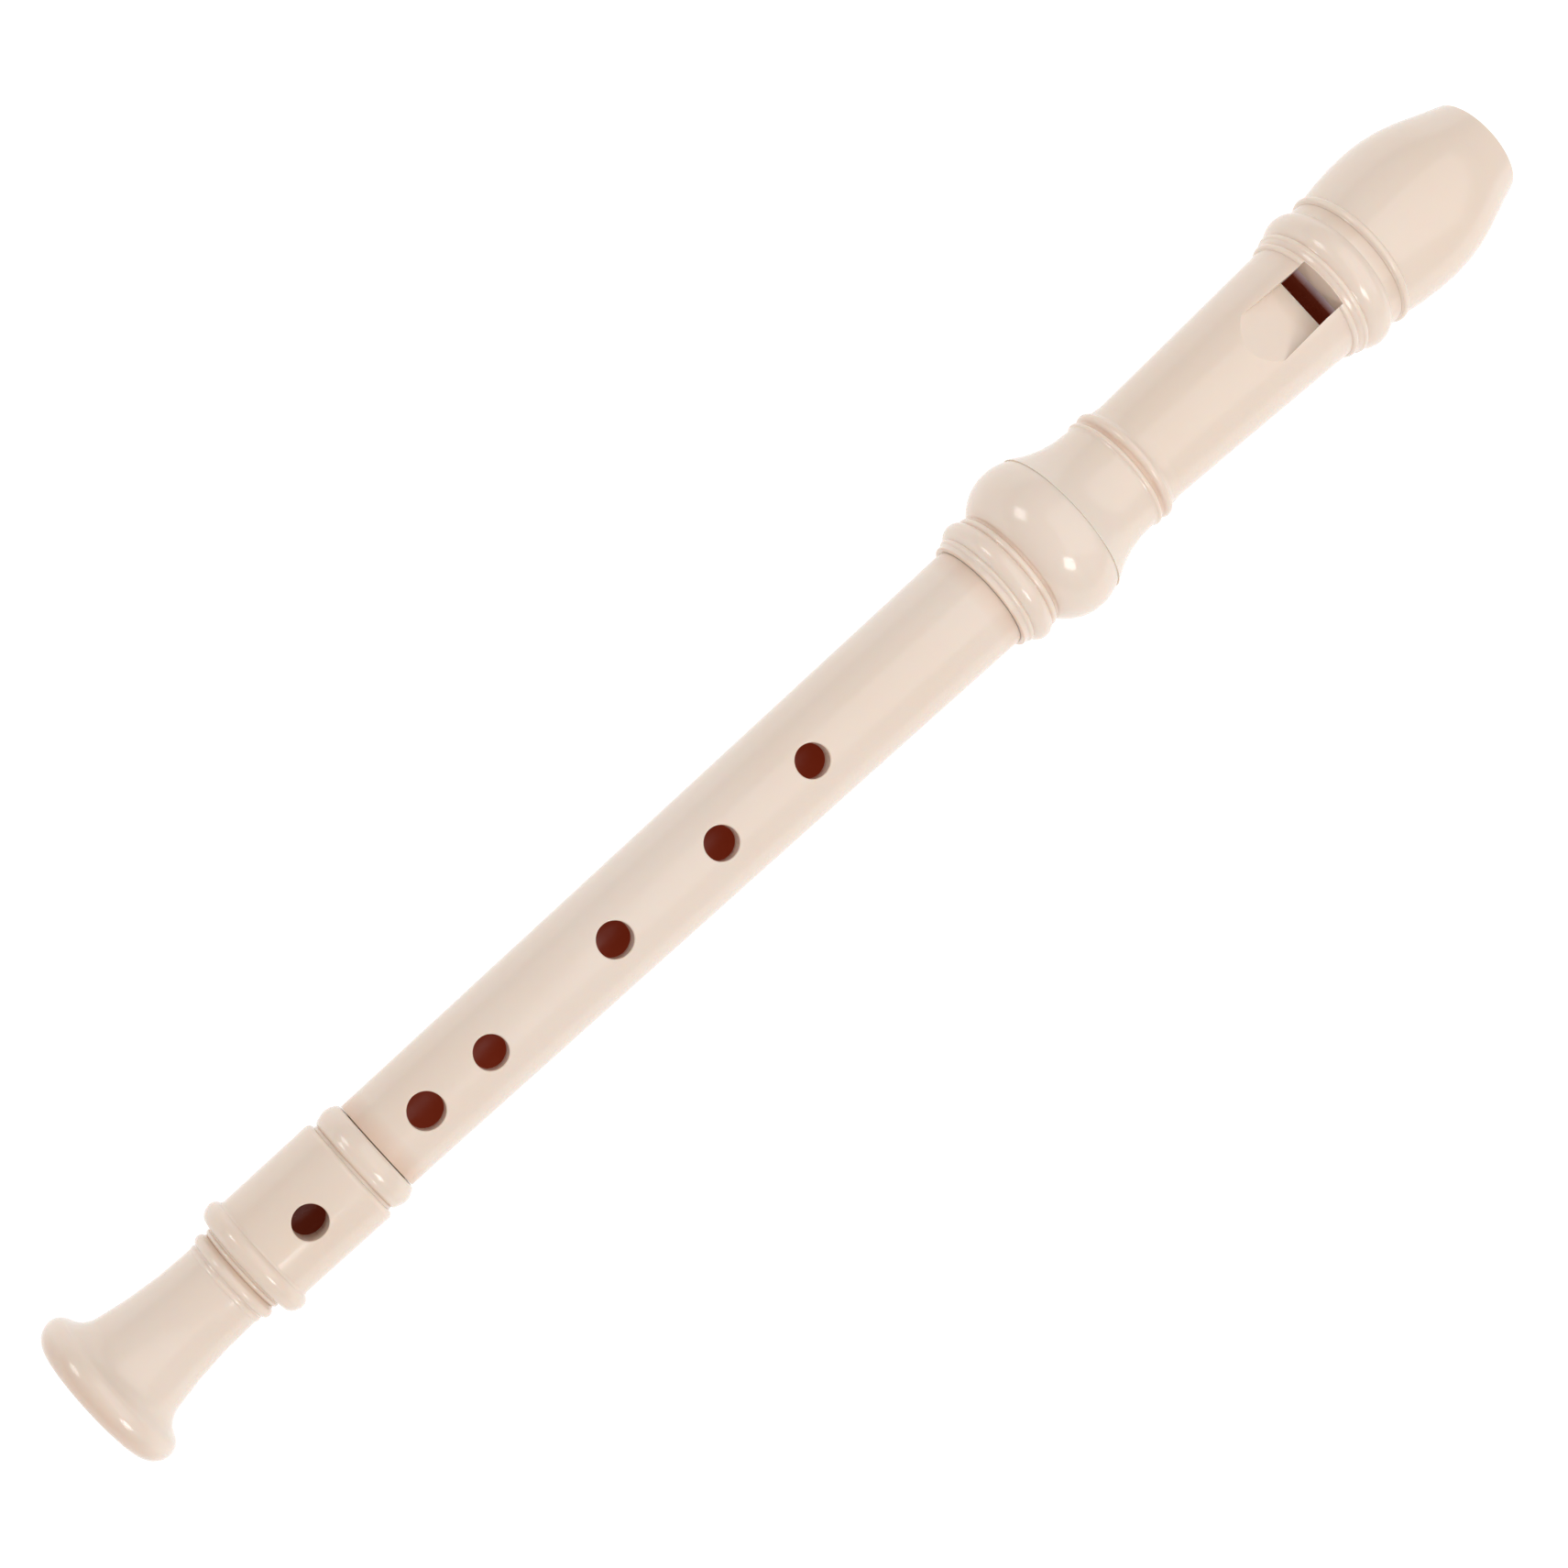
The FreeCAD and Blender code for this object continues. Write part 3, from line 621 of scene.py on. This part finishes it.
def hole_cutter(x, radius, wall):
    """A drill whose mouth is rounded and follows the curve of the wall it comes out of."""
    (x0, r0), (x1, r1) = wall
    edge = bpy.context.scene.recorder_sizes.hole_round / MM
    steps = [math.radians(a) for a in (0, 15, 30, 45, 60, 72)]
    mouth = [(radius + edge * (1 - math.cos(a)), edge * (math.sin(a) - 1)) for a in steps]
    flare = mouth[-1][0] + 1.85
    bpy.ops.object.select_all(action="DESELECT")
    bpy.ops.mesh.primitive_circle_add(
        vertices=72, radius=radius * MM, fill_type="NGON", location=(station(x), 0, AXIS_Z)
    )
    cutter = bpy.context.object
    bpy.ops.object.transform_apply(location=True, rotation=True, scale=True)
    bpy.ops.object.mode_set(mode="EDIT")
    bpy.ops.mesh.select_all(action="SELECT")
    wide, high = radius, 0.0
    for ring_radius, above_wall in mouth + [(flare, 0.6), (flare, 4.0)]:
        level = r0 + above_wall
        bpy.ops.mesh.extrude_region_move(
            TRANSFORM_OT_translate={"value": (0, 0, (level - high) * MM)}
        )
        scale = ring_radius / wide
        bpy.ops.transform.resize(
            value=(scale, scale, 1), center_override=(station(x), 0, AXIS_Z)
        )
        wide, high = ring_radius, level
    bpy.ops.mesh.select_all(action="SELECT")
    bpy.ops.mesh.normals_make_consistent(inside=False)
    bpy.ops.object.mode_set(mode="OBJECT")
    for vertex in cutter.data.vertices:
        if vertex.co.z > AXIS_Z + MM:
            at = (vertex.co.x - FOOT_END) / MM
            wall_radius = r0 + (r1 - r0) * (at - x0) / (x1 - x0)
            dip = r0 - math.sqrt(wall_radius * wall_radius - (vertex.co.y / MM) ** 2)
            vertex.co.z -= dip * MM
    return cutter


def drill(piece, holes, wall):
    """Drills the tone holes through the front of a straight wall."""
    for x, radius in holes:
        combine(piece, hole_cutter(x, radius, wall))
    true_skin(piece, wall)


def turn_about_bore(piece, angle):
    """Turns a finished piece about the axis of the bore."""
    only(piece)
    piece.rotation_euler = (angle, 0, 0)
    piece.location = (0, AXIS_Z * math.sin(angle), AXIS_Z * (1 - math.cos(angle)))
    bpy.ops.object.transform_apply(location=True, rotation=True, scale=True)


def mark_grooves(piece):
    """Stores the painted warm shade: in grooves, at seams and round the bell's rim.

    Only the outer skin counts, so a window's walls and its ramp stay free of it.
    """
    reach, deep, skin_depth = 1.1, 0.9, 0.12
    seam_shade, seam_fade = 0.6, 1.8
    rim_shade, rim_fade, rim_start = 0.38, 0.19, 3.6
    mesh = piece.data
    rings = {}
    places = []
    for vertex in mesh.vertices:
        x = round((vertex.co.x - FOOT_END) / MM, 1)
        high = math.hypot(vertex.co.y, vertex.co.z - AXIS_Z) / MM
        places.append((x, high))
        rings[x] = max(rings.get(x, 0.0), high)
    crest = {}
    for x in rings:
        before = max((r for ring, r in rings.items() if -reach < ring - x <= 0), default=0)
        after = max((r for ring, r in rings.items() if 0 <= ring - x < reach), default=0)
        crest[x] = min(before, after)
    groove = mesh.attributes.new("groove", "FLOAT", "POINT")
    for index, (x, high) in enumerate(places):
        # Painted shade: deeper in grooves, at the seams between parts, and on the bell's
        # rim, whose end faces away from the light.
        depth = seam = rim = 0.0
        if rings[x] - high < skin_depth:
            depth = (crest[x] - high) / deep
            seam = max(seam_shade - seam_fade * abs(x - mark) for mark in SEAMS)
        if high > FOOT_BORE + 0.75:
            rim = min(rim_shade, rim_fade * (rim_start - x))
        groove.data[index].value = min(1.0, max(0.0, depth, seam, rim))


def dress(piece, node, body, bore_radius=0.0, material="ivory_abs", bore="dark_bore_shade",
          angle=0.0):
    """Shades the piece, gives it its finish and lets it stand for its CAD node."""
    only(piece)
    if material == "ivory_abs":
        mark_grooves(piece)
    piece.data.materials.clear()
    piece.data.materials.append(material_named(material))
    # Inward faces of the bore get the painted bore shade.
    if bore_radius:
        piece.data.materials.append(material_named(bore))
        limit = bore_radius * MM
        for face in piece.data.polygons:
            middle = face.center
            across = Vector((0, middle.y, middle.z - AXIS_Z))
            inward = face.normal.dot(across.normalized()) < -0.7
            face.material_index = 1 if across.length < limit and inward else 0
    if not piece.data.has_custom_normals:
        shade(piece)
    if angle:
        turn_about_bore(piece, angle)
    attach(piece, body)
    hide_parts(node)


# --- one operator for each piece ---------------------------------------------------------
class RECORDER_OT_beak(bpy.types.Operator):
    """Turn the beak, cut its windway and hollow its underside"""

    bl_idname = "recorder.beak"
    bl_label = "Beak"

    def execute(self, context):
        piece = turned("beak_shell", BEAK)
        combine(piece, box_cutter(BEAK_SEAM - 1, LENGTH + 2, 0, WINDWAY_ROOF, WINDWAY_WIDTH))
        combine(piece, hollow_cutter())
        soften_edges(piece)
        dress(piece, "beak", "head", HEAD_BORE + 0.6, angle=HEAD_TURN)
        return {"FINISHED"}


class RECORDER_OT_block(bpy.types.Operator):
    """Make the block that fills the bore and carries the windway's floor"""

    bl_idname = "recorder.block"
    bl_label = "Block"

    def execute(self, context):
        length = LENGTH - WINDOW
        bpy.ops.object.select_all(action="DESELECT")
        bpy.ops.mesh.primitive_cylinder_add(
            vertices=144, radius=(HEAD_BORE - BLOCK_GAP) * MM, depth=length * MM,
            location=(station(WINDOW + length / 2), 0, AXIS_Z),
            rotation=(0, math.pi / 2, 0),
        )
        piece = bpy.context.object
        piece.name = "windway_block"
        bpy.ops.object.transform_apply(location=True, rotation=True, scale=True)
        key_width = WINDWAY_WIDTH - 2 * BLOCK_GAP
        key = box_cutter(WINDOW, LENGTH, BLOCK_KEY, WINDWAY_FLOOR, key_width)
        combine(piece, key, "UNION")
        wide = 3 * WINDWAY_WIDTH
        above = WINDWAY_FLOOR + 3
        combine(piece, box_cutter(WINDOW - 1, LENGTH + 1, WINDWAY_FLOOR, above, wide))
        combine(piece, hollow_cutter())
        corner = [
            (WINDOW - 1, WINDWAY_FLOOR - WINDWAY_BEVEL - 1),
            (WINDOW + WINDWAY_BEVEL + 1, WINDWAY_FLOOR + 1), (WINDOW - 1, WINDWAY_FLOOR + 1),
        ]
        combine(piece, side_cutter(corner, wide))
        dress(piece, "block", "head", material="block_sheen_and_shade", angle=HEAD_TURN)
        return {"FINISHED"}


class RECORDER_OT_head_tube(bpy.types.Operator):
    """Turn the head tube and cut its window and labium"""

    bl_idname = "recorder.head_tube"
    bl_label = "Head tube"

    def execute(self, context):
        piece = turned("head_tube_shell", HEAD_TUBE)
        soften_edges(piece)
        combine(piece, box_cutter(WINDOW, BEAK_SEAM + 1, 0, WINDWAY_ROOF, WINDWAY_WIDTH))
        opening = [
            (UNDERCUT, 0), (WINDOW, 0), (WINDOW, CUT_TOP), (LABIUM, CUT_TOP),
            (LABIUM, LABIUM_HEIGHT), (UNDERCUT, LABIUM_HEIGHT),
        ]
        combine(piece, side_cutter(opening, WINDWAY_WIDTH))
        combine(piece, ramp_cutter())
        run, rise = LABIUM - RAMP_END, RAMP_END_HEIGHT - LABIUM_HEIGHT - LABIUM_EDGE
        ramp = Vector((rise, 0, run)).normalized()
        true_skin(piece, HEAD_WALL, alike=0.985, flat=ramp)
        dress(piece, "head_tube", "head", HEAD_BORE + 2.5, angle=HEAD_TURN)
        return {"FINISHED"}


class RECORDER_OT_socket_sleeve(bpy.types.Operator):
    """Turn the ball, neck, bead and lip over the head's socket"""

    bl_idname = "recorder.socket_sleeve"
    bl_label = "Socket sleeve"

    def execute(self, context):
        piece = turned("socket_ball", SOCKET_SLEEVE)
        soften_edges(piece)
        dress(piece, "socket_sleeve", "head", angle=HEAD_TURN)
        return {"FINISHED"}


class RECORDER_OT_middle_joint(bpy.types.Operator):
    """Turn the middle joint with its tenons and drill five finger holes"""

    bl_idname = "recorder.middle_joint"
    bl_label = "Middle joint"

    def execute(self, context):
        piece = turned("middle_tube", MIDDLE_JOINT)
        soften_edges(piece)
        drill(piece, FINGER_HOLES, MIDDLE_WALL)
        dress(piece, "middle_joint", "middle", 6.5, bore="ivory_bore_shade")
        return {"FINISHED"}


class RECORDER_OT_seals(bpy.types.Operator):
    """Turn the two soft rings that seal the tenons"""

    bl_idname = "recorder.seals"
    bl_label = "Tenon seals"

    def execute(self, context):
        for end, middle, inner, outer in SEALS:
            piece = turned(f"{end}_seal_ring", seal_outline(middle, inner, outer))
            soften_edges(piece)
            dress(piece, f"{end}_tenon_seal", f"{end}_seal", material="seal_ring")
        return {"FINISHED"}


class RECORDER_OT_foot(bpy.types.Operator):
    """Turn the foot's ring, barrel and bell, and drill the sixth hole"""

    bl_idname = "recorder.foot"
    bl_label = "Foot joint"

    def execute(self, context):
        ring = turned("foot_socket_ring", FOOT_RING)
        soften_edges(ring)
        dress(ring, "foot_ring", "foot", angle=FOOT_TURN)
        barrel = turned("foot_tube", FOOT_BARREL)
        soften_edges(barrel)
        drill(barrel, FOOT_HOLE, BARREL_WALL)
        dress(barrel, "foot_barrel", "foot", LOWER_SOCKET + 0.2, angle=FOOT_TURN)
        bell = turned("foot_flare", FOOT_BELL)
        soften_edges(bell)
        dress(bell, "foot_bell", "foot", FOOT_BORE + 0.3, angle=FOOT_TURN)
        return {"FINISHED"}


# --- studio ------------------------------------------------------------------------------
# Soft boxes: name, direction from the recorder, distance, size in metres and watts.
SOFT_BOXES = [
    ("left_box", (-0.42, 0.77, 0.48), 1.6, 0.50, 4.6),
    ("right_box", (-0.32, -0.60, 0.70), 1.6, 0.50, 7.2),
    ("head_box", (0.33, -0.08, 0.60), 0.68, 0.9, 2.4),
]
TENT_STRENGTH = 0.46


def soft_box(name, direction, distance, size, power):
    """A square area light that faces the middle of the recorder."""
    toward = Vector(direction).normalized()
    bpy.ops.object.select_all(action="DESELECT")
    bpy.ops.object.light_add(type="AREA", location=toward * distance)
    lamp = bpy.context.object
    lamp.name = name
    lamp.rotation_euler = toward.to_track_quat("Z", "Y").to_euler()
    lamp.data.shape = "SQUARE"
    lamp.data.size = size
    lamp.data.energy = power
    lamp.visible_camera = False


def add_camera():
    """Looks down from over the foot, with the bore rising to the right."""
    distance, lens = 0.530, 71.62
    over, aim, beside = station(70.9), station(154.3), -0.00115
    roll, slope = math.radians(9.0), math.radians(42.31)
    place = Vector((over, distance * math.sin(roll), AXIS_Z + distance * math.cos(roll)))
    target = Vector((aim, beside, AXIS_Z))
    back = (place - target).normalized()
    along = Vector((1, 0, 0))
    along = (along - back * along.dot(back)).normalized()
    across = back.cross(along)
    right = along * math.cos(slope) - across * math.sin(slope)
    up = along * math.sin(slope) + across * math.cos(slope)
    bpy.ops.object.camera_add()
    camera = bpy.context.object
    camera.name = "studio_camera"
    camera.matrix_world = Matrix.Translation(place) @ Matrix(
        (right, up, back)).transposed().to_4x4()
    camera.data.sensor_width = 36.0
    camera.data.lens = lens
    camera.data.clip_start = 0.01
    bpy.context.scene.camera = camera


class RECORDER_OT_stage(bpy.types.Operator):
    """Lay the floor and set the lights and the camera"""

    bl_idname = "recorder.stage"
    bl_label = "Studio"

    def execute(self, context):
        bpy.ops.object.select_all(action="DESELECT")
        bpy.ops.mesh.primitive_plane_add(size=8.0, location=(0, 0, CAD_BOX[0].z))
        floor = context.object
        floor.name = "studio_floor"
        bpy.ops.object.transform_apply(location=True, rotation=True, scale=True)
        floor.data.materials.append(material_named("pale_floor"))
        for name, direction, distance, size, power in SOFT_BOXES:
            soft_box(name, direction, distance, size, power)
        world = bpy.data.worlds.new("studio_tent")
        world.use_nodes = True
        tent = world.node_tree.nodes["Background"]
        tent.inputs["Color"].default_value = (1.0, 1.0, 1.0, 1.0)
        tent.inputs["Strength"].default_value = TENT_STRENGTH
        context.scene.world = world
        context.scene.view_settings.view_transform = "Standard"
        add_camera()
        return {"FINISHED"}


OPERATORS = (
    RECORDER_OT_beak, RECORDER_OT_block, RECORDER_OT_head_tube, RECORDER_OT_socket_sleeve,
    RECORDER_OT_middle_joint, RECORDER_OT_seals, RECORDER_OT_foot, RECORDER_OT_stage,
)


class RECORDER_PT_panel(bpy.types.Panel):
    """Lists the recorder's sizes, colours and pieces"""

    bl_idname = "RECORDER_PT_panel"
    bl_label = "Soprano Recorder"
    bl_space_type = "VIEW_3D"
    bl_region_type = "UI"
    bl_category = "Recorder"

    def draw(self, context):
        layout = self.layout
        for group in (context.scene.recorder_sizes, context.scene.recorder_colours):
            for name in type(group).__annotations__:
                layout.prop(group, name)
        for operator in OPERATORS:
            layout.operator(operator.bl_idname)


CLASSES = (RecorderSizes, RecorderColours, *OPERATORS, RECORDER_PT_panel)


def register():
    """Registers the classes and gives the scene its settings."""
    for cls in CLASSES:
        bpy.utils.register_class(cls)
    bpy.types.Scene.recorder_sizes = bpy.props.PointerProperty(type=RecorderSizes)
    bpy.types.Scene.recorder_colours = bpy.props.PointerProperty(type=RecorderColours)


def unregister():
    """Takes the settings and the classes away again."""
    del bpy.types.Scene.recorder_colours
    del bpy.types.Scene.recorder_sizes
    for cls in reversed(CLASSES):
        bpy.utils.unregister_class(cls)


def main():
    """Makes every piece and the studio."""
    register()
    bpy.ops.recorder.beak()
    bpy.ops.recorder.block()
    bpy.ops.recorder.head_tube()
    bpy.ops.recorder.socket_sleeve()
    bpy.ops.recorder.middle_joint()
    bpy.ops.recorder.seals()
    bpy.ops.recorder.foot()
    bpy.ops.recorder.stage()


if __name__ == "__main__":
    main()
